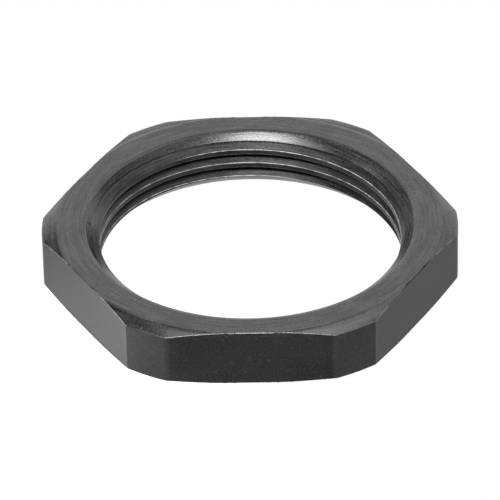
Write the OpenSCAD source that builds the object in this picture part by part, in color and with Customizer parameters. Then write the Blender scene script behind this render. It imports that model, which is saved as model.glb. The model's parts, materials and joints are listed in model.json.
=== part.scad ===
// Hexagonal lock nut for a cable gland body, sensor barrel or panel fitting.
// Turned and milled from one bar: six flats, corners turned back, a shallow
// corner chamfer on each face, a lead-in countersink with a shallow edge break
// on each face and a right-hand metric fine thread through the middle.
// The nut lies on its bottom face at z = 0, with the thread axis on +Z
// and one flat facing -Y.

/* [Thread] */
// Nominal diameter of the thread
thread_d = 30; // [16:0.5:63]
// Thread pitch
thread_pitch = 1.5; // [0.75:0.25:2]
// Angle between the two flanks of the thread
flank_angle = 60; // [55:1:80]
// How far the bore is opened beyond the basic minor diameter
minor_allowance = 0.2; // [0:0.05:0.35]
// How far the roots are cut beyond the nominal radius
root_clearance = 0.08; // [0:0.02:0.12]
// Direction in which the thread groove crosses the bottom face
thread_start = 5; // [-180:5:180]

/* [Hexagon] */
// Metal between the nominal thread radius and the middle of a flat
flat_wall = 3; // [2:0.1:6]
// How far each sharp hexagon corner is turned back towards the axis
corner_cut = 1.08; // [0.4:0.02:1.2]
// Thickness of the nut, from face to face
thickness = 5.7; // [3:0.1:12]

/* [Chamfers] */
// How far the edge of each flat face stands outside the hexagon flats
face_margin = 0.2; // [0:0.05:0.4]
// Slope of the corner chamfer on the top face, measured from the face
top_chamfer_angle = 16; // [10:1:35]
// Slope of the corner chamfer on the bottom face, measured from the face
bottom_chamfer_angle = 14; // [10:1:35]
// How far the lead-in countersink opens beyond the nominal thread radius
lead_in_margin = 0.55; // [0.2:0.05:1]
// Slope of the lead-in countersink, measured from the face
lead_in_angle = 45; // [20:1:50]
// Width of the shallow edge break round the countersink
edge_break_width = 0.3; // [0.1:0.05:0.5]
// Slope of the edge break, measured from the face
edge_break_angle = 10; // [5:1:15]

/* [Hidden] */

$fn = 96;
// Straight pieces in one turn of the thread groove
thread_steps = 36;
// How far a cutting tool runs past the metal it cuts
overcut = 0.3;

// Hexagon
across_flats = thread_d + 2 * flat_wall;
hex_corner_r = across_flats / 2 / cos(30);
corner_r = hex_corner_r - corner_cut;
face_r = across_flats / 2 + face_margin;
top_corner_z = thickness - (corner_r - face_r) * tan(top_chamfer_angle);
bottom_corner_z = (corner_r - face_r) * tan(bottom_chamfer_angle);

// Thread profile, as in ISO 68-1: a sharp triangle, an eighth of the pitch
// wide at the nominal radius and cut off by a quarter of its height at the
// crests
sharp_height = thread_pitch / 2 / tan(flank_angle / 2);
nominal_r = thread_d / 2;
crest_r = nominal_r - 5 / 8 * sharp_height + minor_allowance / 2;
root_r = nominal_r + root_clearance;
root_flat = thread_pitch / 8 - 2 * root_clearance * tan(flank_angle / 2);
tool_tip_r = crest_r - overcut;
tool_tip_flat = root_flat + 2 * (root_r - tool_tip_r) * tan(flank_angle / 2);

// Lead-in countersinks, each with its edge break
lead_in_r = nominal_r + lead_in_margin;
edge_break_r = lead_in_r + edge_break_width;
edge_break_depth = edge_break_width * tan(edge_break_angle);
lead_in_depth = edge_break_depth + (lead_in_r - crest_r) * tan(lead_in_angle);

// Turns of the groove, from one pitch below the nut to one pitch above it
groove_turns = thickness / thread_pitch + 2;
groove_steps = ceil(groove_turns * thread_steps);

// Outer shape as turned: the corner cylinder with a cone on each face
module turned_blank() {
    rotate_extrude()
        polygon([
            [0, 0], [face_r, 0], [corner_r, bottom_corner_z],
            [corner_r, top_corner_z], [face_r, thickness], [0, thickness]
        ]);
}

// Hexagon bar with one flat facing -Y
module hexagon_bar() {
    translate([0, 0, -overcut])
        cylinder(r = hex_corner_r, h = thickness + 2 * overcut, $fn = 6);
}

// Plain bore at the thread crests, opened by a countersink on each face
module bore() {
    past = overcut * tan(edge_break_angle);
    rotate_extrude()
        polygon([
            [0, -past], [edge_break_r + overcut, -past],
            [lead_in_r, edge_break_depth], [crest_r, lead_in_depth],
            [crest_r, thickness - lead_in_depth],
            [lead_in_r, thickness - edge_break_depth],
            [edge_break_r + overcut, thickness + past], [0, thickness + past]
        ]);
}

// One cross-section of the thread groove: four points, root first
function groove_section(i) =
    let (a = thread_start + 360 * (i / thread_steps - 1),
         z = thread_pitch * (i / thread_steps - 1))
    [
        for (p = [[root_r, root_flat / 2], [root_r, -root_flat / 2],
                  [tool_tip_r, -tool_tip_flat / 2], [tool_tip_r, tool_tip_flat / 2]])
            [p[0] * cos(a), p[0] * sin(a), z + p[1]]
    ];

// The helical groove that a threading tool cuts, as one closed solid
module thread_groove() {
    last = 4 * groove_steps;
    points = [for (i = [0:groove_steps], p = groove_section(i)) p];
    sides = [
        for (i = [0:groove_steps - 1], k = [0:3])
            let (a = 4 * i + k, b = 4 * i + (k + 1) % 4)
            each [[a, b + 4, b], [a, a + 4, b + 4]]
    ];
    ends = [[0, 1, 2, 3], [last + 3, last + 2, last + 1, last]];
    polyhedron(points = points, faces = concat(sides, ends), convexity = 8);
}

module lock_nut() {
    color([0.27, 0.27, 0.28])
        difference() {
            intersection() {
                turned_blank();
                hexagon_bar();
            }
            bore();
            thread_groove();
        }
}

lock_nut();
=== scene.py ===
"""Hexagonal lock nut in satin black metal, lying on a white table."""
import json
import math

import bmesh
import bpy
from mathutils import Matrix, Vector


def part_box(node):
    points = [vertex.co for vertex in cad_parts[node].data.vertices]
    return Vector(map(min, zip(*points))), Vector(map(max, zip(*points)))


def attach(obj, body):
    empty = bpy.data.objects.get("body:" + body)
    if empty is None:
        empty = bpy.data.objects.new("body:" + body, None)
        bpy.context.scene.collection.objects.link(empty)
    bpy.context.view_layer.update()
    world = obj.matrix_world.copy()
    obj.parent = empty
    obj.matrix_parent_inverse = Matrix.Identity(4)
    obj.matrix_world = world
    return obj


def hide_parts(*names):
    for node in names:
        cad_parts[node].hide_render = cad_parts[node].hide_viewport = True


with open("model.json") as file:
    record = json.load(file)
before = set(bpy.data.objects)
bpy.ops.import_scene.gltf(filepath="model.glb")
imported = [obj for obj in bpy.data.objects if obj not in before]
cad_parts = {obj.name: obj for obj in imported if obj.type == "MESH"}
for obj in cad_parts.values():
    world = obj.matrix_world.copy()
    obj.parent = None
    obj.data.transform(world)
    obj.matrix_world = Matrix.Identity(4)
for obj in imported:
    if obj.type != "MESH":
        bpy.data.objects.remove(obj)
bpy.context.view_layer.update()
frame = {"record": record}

MM = 0.001

# ---- Sizes, from the frame ------------------------------------------------------------

mounts = {mount["name"]: mount for mount in frame["record"]["mounts"]}
nut_low, nut_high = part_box("lock_nut")

THICKNESS = nut_high.z - nut_low.z
APOTHEM = (nut_high.y - nut_low.y) / 2
CORNER_R = (nut_high.x - nut_low.x) / 2
CREST_R = mounts["thread"]["dims"]["r_mm"] * MM

# ---- Sizes of the turned and milled details -------------------------------------------

FACE_R = APOTHEM + 0.2 * MM         # where the corner chamfers start
TOP_CHAMFER = math.radians(16)      # slopes from the face
BOTTOM_CHAMFER = math.radians(14)
TOP_DROP = (CORNER_R - FACE_R) * math.tan(TOP_CHAMFER)
BOTTOM_DROP = (CORNER_R - FACE_R) * math.tan(BOTTOM_CHAMFER)
THREAD_R = 15 * MM                  # nominal
ROOT_R = THREAD_R + 0.08 * MM
PITCH = 1.5 * MM
FLANK = math.radians(30)            # each flank from the plane square to the axis
ROOT_FLAT = PITCH / 8 - 2 * (ROOT_R - THREAD_R) * math.tan(FLANK)
GROOVE = ROOT_FLAT + 2 * (ROOT_R - CREST_R) * math.tan(FLANK)  # its width at the crests
THREAD_START = math.radians(5)      # where the groove crosses the bottom face
LEAD_IN_R = THREAD_R + 0.55 * MM
LEAD_IN = math.radians(45)          # slope from the face
EDGE_BREAK_R = LEAD_IN_R + 0.3 * MM
EDGE_BREAK = math.radians(10)       # slope from the face
EDGE_BREAK_DEPTH = (EDGE_BREAK_R - LEAD_IN_R) * math.tan(EDGE_BREAK)
BORE_STOCK = 0.3 * MM               # left in the bore for the tap to cut
TAP_PAST = 0.5 * MM                 # how far the tap stands out of each face

# Rounding of the edges, as distances back from the sharp corner
LIP_ROUND = 0.06 * MM
BREAK_ROUND = 0.05 * MM
FOLD_ROUND = 0.16 * MM
SHOULDER_ROUND = 0.1 * MM
FLAT_ROUND = 0.09 * MM
CREST_ROUND = 0.07 * MM
ROOT_ROUND = 0.02 * MM
ROUND_SEGMENTS = 3

COLUMNS = 360                       # faces round the nut
TAP_COLUMNS = 240                   # faces in one turn of the thread
WELD = 0.004 * MM                   # vertices nearer than this are joined
PLAIN_CORNERS = 20                  # a flat's face has more corners, and no other has
SMOOTH_ANGLE = math.radians(28)     # edges folded more than this are shaded sharp

SIXTH = math.radians(60)
FLAT_ANGLES = [math.radians(60 * k - 90) for k in range(6)]
OUTWARD = [Vector((math.cos(angle), math.sin(angle), 0)) for angle in FLAT_ANGLES]


# ---- Shapes ---------------------------------------------------------------------------

def outline(bm, points, closed):
    """Draws a line through (radius, height) points in the XZ plane."""
    verts = [bm.verts.new((radius, 0, height)) for radius, height in points]
    pairs = list(zip(verts, verts[1:]))
    if closed:
        pairs.append((verts[-1], verts[0]))
    for start, end in pairs:
        bm.edges.new((start, end))
    return verts


def round_corners(bm, verts, distance):
    bmesh.ops.bevel(
        bm, geom=verts, offset=distance, offset_type="OFFSET", affect="VERTICES",
        segments=ROUND_SEGMENTS, profile=0.5, material=-1,
    )


def column_angle(angle):
    """Moves a column's angle so that columns fall on both ends of each flat's edges."""
    step = math.tau / COLUMNS
    middle = round((angle - SIXTH / 2) / SIXTH) * SIXTH + SIXTH / 2
    off = angle - middle
    # Off a flat's middle: the middle, where each outer circle meets the flat, the tip
    wanted = [0, math.acos(APOTHEM / FACE_R), math.acos(APOTHEM / CORNER_R), SIXTH / 2]
    even = [round(value / step) * step for value in wanted]
    for k in range(3):
        if abs(off) <= even[k + 1] + step / 4 or k == 2:
            share = (abs(off) - even[k]) / (even[k + 1] - even[k])
            moved = wanted[k] + share * (wanted[k + 1] - wanted[k])
            return middle + math.copysign(moved, off)


def turn_blank(bm):
    """Turns the ring: faces, corner chamfers, lead-ins and a plain bore."""
    bore_r = CREST_R - BORE_STOCK
    lead_in_depth = EDGE_BREAK_DEPTH + (LEAD_IN_R - bore_r) * math.tan(LEAD_IN)
    section = outline(bm, [
        (bore_r, lead_in_depth), (LEAD_IN_R, EDGE_BREAK_DEPTH), (EDGE_BREAK_R, 0),
        (FACE_R, 0), (CORNER_R, BOTTOM_DROP),
        (CORNER_R, THICKNESS - TOP_DROP), (FACE_R, THICKNESS),
        (EDGE_BREAK_R, THICKNESS), (LEAD_IN_R, THICKNESS - EDGE_BREAK_DEPTH),
        (bore_r, THICKNESS - lead_in_depth),
    ], closed=True)
    round_corners(bm, [section[1], section[8]], LIP_ROUND)
    round_corners(bm, [section[2], section[7]], BREAK_ROUND)
    round_corners(bm, [section[3], section[6]], FOLD_ROUND)
    round_corners(bm, [section[4], section[5]], SHOULDER_ROUND)
    bmesh.ops.spin(
        bm, geom=bm.verts[:] + bm.edges[:], cent=(0, 0, 0), axis=(0, 0, 1),
        angle=math.tau, steps=COLUMNS, use_merge=True,
    )
    for vert in bm.verts:
        radius = math.hypot(vert.co.x, vert.co.y)
        angle = column_angle(math.atan2(vert.co.y, vert.co.x))
        vert.co.x = radius * math.cos(angle)
        vert.co.y = radius * math.sin(angle)


def mill_flats(bm):
    """Cuts the six flats and breaks their edges."""
    for outward in OUTWARD:
        cut = bmesh.ops.bisect_plane(
            bm, geom=bm.verts[:] + bm.edges[:] + bm.faces[:], dist=WELD,
            plane_co=outward * APOTHEM, plane_no=outward, clear_outer=True,
        )
        rim = [item for item in cut["geom_cut"] if isinstance(item, bmesh.types.BMEdge)]
        bmesh.ops.edgeloop_fill(bm, edges=rim)
    bmesh.ops.remove_doubles(bm, verts=bm.verts[:], dist=WELD)
    bmesh.ops.recalc_face_normals(bm, faces=bm.faces[:])
    flats = [face for face in bm.faces if len(face.verts) > PLAIN_CORNERS]
    rims = {edge for face in flats for edge in face.edges}
    bmesh.ops.bevel(
        bm, geom=list(rims), offset=FLAT_ROUND, offset_type="OFFSET", affect="EDGES",
        segments=ROUND_SEGMENTS, profile=0.5, material=-1, clamp_overlap=False,
    )
    # The rounding may stand a few microns proud of the faces and the flats
    for vert in bm.verts:
        vert.co.z = min(max(vert.co.z, 0), THICKNESS)
        for outward in OUTWARD:
            vert.co -= outward * max(vert.co.dot(outward) - APOTHEM, 0)


def make_tap(bm):
    """A closed rod with the thread's full form, a little longer than the nut."""
    first = -2 * PITCH - PITCH * THREAD_START / math.tau
    section = outline(bm, [
        (CREST_R, first - PITCH / 2), (CREST_R, first - GROOVE / 2),
        (ROOT_R, first - ROOT_FLAT / 2), (ROOT_R, first + ROOT_FLAT / 2),
        (CREST_R, first + GROOVE / 2), (CREST_R, first + PITCH / 2),
    ], closed=False)
    round_corners(bm, [section[1], section[4]], CREST_ROUND)
    round_corners(bm, [section[2], section[3]], ROOT_ROUND)
    turns = math.ceil(THICKNESS / PITCH) + 3
    bmesh.ops.spin(
        bm, geom=bm.verts[:] + bm.edges[:], cent=(0, 0, 0), axis=(0, 0, 1),
        dvec=(0, 0, PITCH / TAP_COLUMNS), angle=turns * math.tau,
        steps=turns * TAP_COLUMNS, use_merge=False,
    )
    bmesh.ops.remove_doubles(bm, verts=bm.verts[:], dist=WELD)
    for height, facing in ((-TAP_PAST, -1), (THICKNESS + TAP_PAST, 1)):
        cut = bmesh.ops.bisect_plane(
            bm, geom=bm.verts[:] + bm.edges[:] + bm.faces[:], dist=WELD / 10,
            plane_co=(0, 0, height), plane_no=(0, 0, facing), clear_outer=True,
        )
        rim = [item for item in cut["geom_cut"] if isinstance(item, bmesh.types.BMEdge)]
        bmesh.ops.edgeloop_fill(bm, edges=rim)


def new_object(name, *steps):
    """Runs the modelling steps on an empty mesh and puts it in the scene."""
    bm = bmesh.new()
    for step in steps:
        step(bm)
    bmesh.ops.recalc_face_normals(bm, faces=bm.faces[:])
    mesh = bpy.data.meshes.new(name)
    bm.to_mesh(mesh)
    bm.free()
    piece = bpy.data.objects.new(name, mesh)
    bpy.context.scene.collection.objects.link(piece)
    return piece


def cut_away(piece, tool):
    """Takes the tool's shape out of the piece for good, and removes the tool."""
    cut = piece.modifiers.new("cut", "BOOLEAN")
    cut.operation = "DIFFERENCE"
    cut.solver = "EXACT"
    cut.object = tool
    depsgraph = bpy.context.evaluated_depsgraph_get()
    result = bpy.data.meshes.new_from_object(piece.evaluated_get(depsgraph))
    result.name = piece.name
    piece.modifiers.clear()
    piece.data = result
    bpy.data.objects.remove(tool)


def make_nut():
    nut = new_object("nut", turn_blank, mill_flats)
    tap = new_object("tap", make_tap)
    cut_away(nut, tap)
    nut.data.shade_smooth()
    nut.data.set_sharp_from_angle(angle=SMOOTH_ANGLE)
    even = nut.modifiers.new("even_shading", "WEIGHTED_NORMAL")
    even.keep_sharp = True
    return nut


# ---- Materials ------------------------------------------------------------------------

# Noise scales: cells to a metre, or to a millimetre for the turning marks
MARK_SCALE = 4
DRIFT_SCALE = 0.2 / MM
PATCH_SCALE = 1.5 / MM
SPECK_SCALE = 3.2 / MM
GRAIN_SCALE = 5 / MM
NOISE_MIDDLE = 0.5
NOISE_ROUGH = 0.6                   # how strong each finer layer of noise is
MARK_TURN = 1.2                     # millimetres across the marks for a radian along them
MARK_RISE = 0.8                     # how much height counts beside radius
SPECK_BAND = (0.66, 0.76)           # the noise between which a speck comes in
PATCH_BAND = (0.4, 0.6)             # the same for a worn patch

# Linear shades of grey, and what each thing adds to them
SKIN_SHADE = 0.004
SHADE_DRIFT = 0.006
SHADE_GRAIN = 0.014
SHADE_SPECK = 0.006
SHADE_MARKS = 0.022
SHADE_RANGE = (0.001, 0.05)
PAINTED_CORNER_SHEEN = 0.004
RIM_WEAR_AND_HIGHLIGHT_SHADE = 0.06
SHADE_CREST = 0.12
EDGE_UNBROKEN = 0.4                 # the share of the wear, and of the flats' painted edge highlight, that shows between patches
CREST_UNBROKEN = 0.3

# Roughness, and what each thing adds to it
SKIN_ROUGH = 0.24
ROUGH_DRIFT = 0.06
ROUGH_GRAIN = 0.2
ROUGH_MARKS = 0.2
ROUGH_LEAD_IN = 0.02
ROUGH_THREAD = 0.08
SPECULAR = 0.175                    # where 0.5 is plain paint

# Bump
BUMP_MARKS = 0.6
BUMP_GRAIN = 0.5
BUMP_STRENGTH = 0.6
BUMP_DISTANCE = 0.02 * MM

# How far each finish reaches, and the widths over which one turns into the next
CHAMFER_CLEAR = 0.03 * MM           # from the chamfers to the flats' finish
CORNER_BAND = 0.15 * MM             # how far in the corners' painted sheen reaches
EDGE_LINE_REACH = 0.06 * MM               # how far from its edge each lighter line reaches: wear on the crests, wear and painted highlight on the flats
WORN_CREST = 0.05 * MM              # how far out from the crest wall its wear reaches
LEAD_IN_BLEND = 0.04 * MM
THREAD_BLEND = 0.06 * MM
FLAT_BLEND = 0.1 * MM
EDGE_LINE_REACH_BLEND = 0.05 * MM
WORN_CREST_BLEND = 0.03 * MM


class Socket:
    """A shader socket that arithmetic can be done on."""

    def __init__(self, paint, link):
        self.paint = paint
        self.link = link

    def maths(self, operation, *values):
        return self.paint.node("ShaderNodeMath", {"operation": operation}, dict(enumerate(values)))

    def __add__(self, other):
        return self.maths("ADD", self, other)

    def __radd__(self, other):
        return self.maths("ADD", other, self)

    def __sub__(self, other):
        return self.maths("SUBTRACT", self, other)

    def __rsub__(self, other):
        return self.maths("SUBTRACT", other, self)

    def __mul__(self, other):
        return self.maths("MULTIPLY", self, other)

    def __rmul__(self, other):
        return self.maths("MULTIPLY", other, self)

    def __truediv__(self, other):
        return self.maths("DIVIDE", self, other)

    def sqrt(self):
        return self.maths("SQRT", self)

    def size(self):
        return self.maths("ABSOLUTE", self)

    def larger(self, other):
        return self.maths("MAXIMUM", self, other)

    def pingpong(self, top):
        """Runs up and down between 0 and the top as the value grows."""
        return self.maths("PINGPONG", self, top)

    def angle_over(self, x):
        """The angle of the point (x, this value), from +X."""
        return self.maths("ARCTAN2", self, x)

    def smooth(self):
        """Eases a value that runs from 0 to 1 at both of its ends."""
        return self * self * (3 - 2 * self)

    def clamped(self, low, high):
        return self.maths("MINIMUM", self.maths("MAXIMUM", self, low), high)


class Paint:
    """A material's node tree, and the one way to add a node to it."""

    def __init__(self, name):
        self.material = bpy.data.materials.new(name)
        self.material.use_nodes = True
        self.nodes = self.material.node_tree.nodes
        self.links = self.material.node_tree.links
        self.shader = self.nodes["Principled BSDF"]

    def node(self, kind, settings, inputs, output=0):
        made = self.nodes.new(kind)
        for name, value in settings.items():
            setattr(made, name, value)
        self.feed(made, inputs)
        return Socket(self, made.outputs[output])

    def feed(self, made, inputs):
        for name, value in inputs.items():
            if isinstance(value, Socket):
                self.links.new(value.link, made.inputs[name])
            else:
                made.inputs[name].default_value = value

    def split(self, vector):
        parts = self.node("ShaderNodeSeparateXYZ", {}, {0: vector}).link.node
        return [Socket(self, output) for output in parts.outputs]

    def grey(self, shade):
        return self.node("ShaderNodeCombineColor", {}, {0: shade, 1: shade, 2: shade})


def noise(paint, vector, scale, detail):
    """Cloudy noise from 0 to 1, with its middle at 0.5."""
    return paint.node(
        "ShaderNodeTexNoise", {},
        {"Vector": vector, "Scale": scale, "Detail": detail, "Roughness": NOISE_ROUGH},
        output="Fac",
    )


def step_down(value, edge, width):
    """1 where the value is below the edge and 0 above it, with a ramp this wide between."""
    return ((edge - value) / width + 0.5).clamped(0, 1)


def ramp(value, band):
    """0 where the value is below the band and 1 above it."""
    low, high = band
    return ((value - low) / (high - low)).clamped(0, 1)


def rim_wear_and_highlight(x, y, z, radius):
    """1 along the top edges of the flats, where wear and a painted highlight are drawn."""
    lean_x = x * math.cos(SIXTH / 2)
    lean_y = y * math.sin(SIXTH / 2)
    slanting = (lean_x + lean_y).size().larger((lean_x - lean_y).size())
    behind_flat = APOTHEM - slanting.larger(y.size())
    below_chamfer = THICKNESS - z - (radius - FACE_R) * math.tan(TOP_CHAMFER)
    return step_down(behind_flat + below_chamfer, EDGE_LINE_REACH, EDGE_LINE_REACH_BLEND)


def crest_edges(x, y, z, radius):
    """1 along both edges of the thread crest."""
    turns = z / PITCH - y.angle_over(x) / math.tau + THREAD_START / math.tau
    off_groove = turns.pingpong(0.5) * PITCH
    line = (1 - (off_groove - GROOVE / 2).size() / EDGE_LINE_REACH).clamped(0, 1)
    return line * step_down(radius, CREST_R + WORN_CREST, WORN_CREST_BLEND)


def milled_flats(z, radius):
    """1 on the flats, between the chamfers, and 0 on all that was turned."""
    below_top = step_down(z, THICKNESS - TOP_DROP - CHAMFER_CLEAR, FLAT_BLEND)
    above_bottom = 1 - step_down(z, BOTTOM_DROP + CHAMFER_CLEAR, FLAT_BLEND)
    outside = 1 - step_down(radius, APOTHEM - FLAT_BLEND, FLAT_BLEND)
    return below_top * above_bottom * outside


def black_metal():
    """Blackened metal: turning marks, a speckled skin, worn crests, flats' top edges with wear and
    a painted highlight, and turned corners with a painted sheen; rougher in the bore.
    """
    paint = Paint("black_metal")
    place = paint.node("ShaderNodeTexCoord", {}, {}, output="Object")
    x, y, z = paint.split(place)
    radius = (x * x + y * y).sqrt()

    # Turning marks run round the axis, each an arc of ten degrees or so
    across = (radius + z * MARK_RISE) / MM
    rings = paint.node(
        "ShaderNodeCombineXYZ", {},
        {0: across, 1: x / radius * MARK_TURN, 2: y / radius * MARK_TURN},
    )
    turned = 1 - milled_flats(z, radius)
    marks = noise(paint, rings, MARK_SCALE, detail=4)
    mark_tone = (marks - NOISE_MIDDLE) * turned
    drift = noise(paint, place, DRIFT_SCALE, detail=2) - NOISE_MIDDLE
    grain = noise(paint, place, GRAIN_SCALE, detail=3) - NOISE_MIDDLE
    specks = ramp(noise(paint, place, SPECK_SCALE, detail=1), SPECK_BAND)
    patches = ramp(noise(paint, place, PATCH_SCALE, detail=2), PATCH_BAND)

    shade = SKIN_SHADE + drift * SHADE_DRIFT + grain * SHADE_GRAIN + specks * SHADE_SPECK
    shade = (shade + mark_tone * SHADE_MARKS).clamped(*SHADE_RANGE)
    # Painted sheen: the turned corners are a little lighter than the milled flats
    inside_corner = step_down(radius, CORNER_R - CORNER_BAND, FLAT_BLEND)
    shade = shade + (1 - inside_corner) * PAINTED_CORNER_SHEEN
    # Bare metal shows through where the thread crests are worn; the lighter line along the flats'
    # top edges is wear and a painted highlight
    rim_wear_and_highlight_share = EDGE_UNBROKEN + patches * (1 - EDGE_UNBROKEN)
    crest_wear = CREST_UNBROKEN + patches * (1 - CREST_UNBROKEN)
    # Painted highlight, with wear, along the top edges of the flats
    shade = shade + rim_wear_and_highlight(x, y, z, radius) * rim_wear_and_highlight_share * RIM_WEAR_AND_HIGHLIGHT_SHADE
    shade = shade + crest_edges(x, y, z, radius) * crest_wear * SHADE_CREST

    in_thread = step_down(radius, THREAD_R, THREAD_BLEND)
    on_lead_in = step_down(radius, EDGE_BREAK_R, LEAD_IN_BLEND) * (1 - in_thread)
    rough = SKIN_ROUGH + drift * ROUGH_DRIFT + grain * ROUGH_GRAIN + mark_tone * ROUGH_MARKS
    rough = rough + on_lead_in * ROUGH_LEAD_IN + in_thread * ROUGH_THREAD

    bump = paint.node("ShaderNodeBump", {}, {
        "Height": marks * turned * BUMP_MARKS + grain * BUMP_GRAIN,
        "Strength": BUMP_STRENGTH,
        "Distance": BUMP_DISTANCE,
    }, output="Normal")
    paint.feed(paint.shader, {
        "Base Color": paint.grey(shade),
        "Roughness": rough,
        "Metallic": 0.0,
        "Specular IOR Level": SPECULAR,
        "Normal": bump,
    })
    return paint.material


TABLE_LIGHT = 1.0                   # radiance, where 1 is white
POOL_LIGHT = 1.4                    # more than that in the middle of the pool
POOL_CENTRE = (-22 * MM, -16 * MM, 0)
POOL_RADIUS = 24 * MM


def white_table():
    """A white table too bright to show shadows, with a pool of light left of the nut."""
    paint = Paint("white_table")
    place = paint.node("ShaderNodeTexCoord", {}, {}, output="Object")
    off_pool = paint.node(
        "ShaderNodeVectorMath", {"operation": "DISTANCE"}, {0: place, 1: POOL_CENTRE},
        output="Value",
    )
    pool = (1 - off_pool / POOL_RADIUS).clamped(0, 1)
    light = TABLE_LIGHT + POOL_LIGHT * pool.smooth()
    paint.feed(paint.shader, {
        "Base Color": (0, 0, 0, 1),
        "Roughness": 1.0,
        "Specular IOR Level": 0.0,
        "Emission Color": paint.grey(light),
        "Emission Strength": 1.0,
    })
    return paint.material


# ---- Studio ---------------------------------------------------------------------------

CAMERA_DISTANCE = 697 * MM
CAMERA_LENS = 529.4                 # on a 36 mm sensor
CAMERA_ELEVATION = math.radians(34.84)
CAMERA_AZIMUTH = math.radians(0.38)
CAMERA_ROLL = math.radians(1.14)
CAMERA_DROP = 0.25 * MM             # the view's centre below the nut's
CAMERA_SHIFT = 0.032 * MM           # the view's centre left of the nut's

TABLE_HALF = 1.5
TABLE_DROP = 0.01 * MM              # keeps the table clear of the nut's bottom face
WORLD_RADIANCE = 0.5


def add_camera():
    camera = bpy.data.objects.new("camera", bpy.data.cameras.new("camera"))
    bpy.context.scene.collection.objects.link(camera)
    camera.data.sensor_width = 36
    camera.data.lens = CAMERA_LENS
    camera.data.clip_start = 0.01
    camera.data.clip_end = 10
    camera.matrix_world = (
        Matrix.Translation((0, 0, THICKNESS / 2))
        @ Matrix.Rotation(CAMERA_AZIMUTH, 4, "Z")
        @ Matrix.Rotation(math.pi / 2 - CAMERA_ELEVATION, 4, "X")
        @ Matrix.Translation((-CAMERA_SHIFT, -CAMERA_DROP, CAMERA_DISTANCE))
        @ Matrix.Rotation(-CAMERA_ROLL, 4, "Z")
    )
    bpy.context.scene.camera = camera


def add_softbox(name, azimuth, elevation, distance, width, height, radiance):
    """A softbox facing the nut. Azimuth 0 is behind the camera, and 90 is on its right."""
    light = bpy.data.lights.new(name, "AREA")
    light.shape = "RECTANGLE"
    light.size = width
    light.size_y = height
    light.energy = radiance * math.pi * width * height
    box = bpy.data.objects.new(name, light)
    bpy.context.scene.collection.objects.link(box)
    box.matrix_world = (
        Matrix.Rotation(math.radians(azimuth), 4, "Z")
        @ Matrix.Rotation(math.radians(90 - elevation), 4, "X")
        @ Matrix.Translation((0, 0, distance))
    )


def add_world(radiance):
    world = bpy.data.worlds.new("studio")
    world.use_nodes = True
    background = world.node_tree.nodes["Background"]
    background.inputs["Color"].default_value = (1, 1, 1, 1)
    background.inputs["Strength"].default_value = radiance
    bpy.context.scene.world = world


def add_table():
    def plane(bm):
        bmesh.ops.create_grid(bm, x_segments=1, y_segments=1, size=TABLE_HALF)
        bmesh.ops.translate(bm, verts=bm.verts[:], vec=(0, 0, -TABLE_DROP))

    table = new_object("table", plane)
    table.data.materials.append(white_table())


# ---- The scene ------------------------------------------------------------------------

add_camera()
add_table()
add_world(WORLD_RADIANCE)
add_softbox(
    "top_box", azimuth=180, elevation=80, distance=1.0,
    width=0.55, height=0.45, radiance=10,
)
add_softbox(
    "key_strip", azimuth=-11, elevation=55, distance=1.0,
    width=0.52, height=0.26, radiance=68,
)
add_softbox(
    "wide_strip", azimuth=-6, elevation=55, distance=1.05,
    width=1.5, height=0.14, radiance=46,
)
add_softbox(
    "back_box", azimuth=162, elevation=44, distance=1.0,
    width=1.2, height=0.4, radiance=2.7,
)
add_softbox(
    "shoulder_box", azimuth=138, elevation=62, distance=1.0,
    width=0.4, height=0.34, radiance=6,
)
add_softbox(
    "horizon_box", azimuth=172, elevation=20, distance=1.0,
    width=2.0, height=0.36, radiance=2.8,
)
add_softbox(
    "right_box", azimuth=85, elevation=50, distance=1.0,
    width=0.6, height=0.6, radiance=2.0,
)
add_softbox(
    "left_box", azimuth=-90, elevation=15, distance=1.0,
    width=0.5, height=0.5, radiance=22,
)

nut = make_nut()
nut.data.materials.append(black_metal())
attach(nut, "root")
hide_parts("lock_nut")

bpy.context.scene.view_settings.view_transform = "Standard"
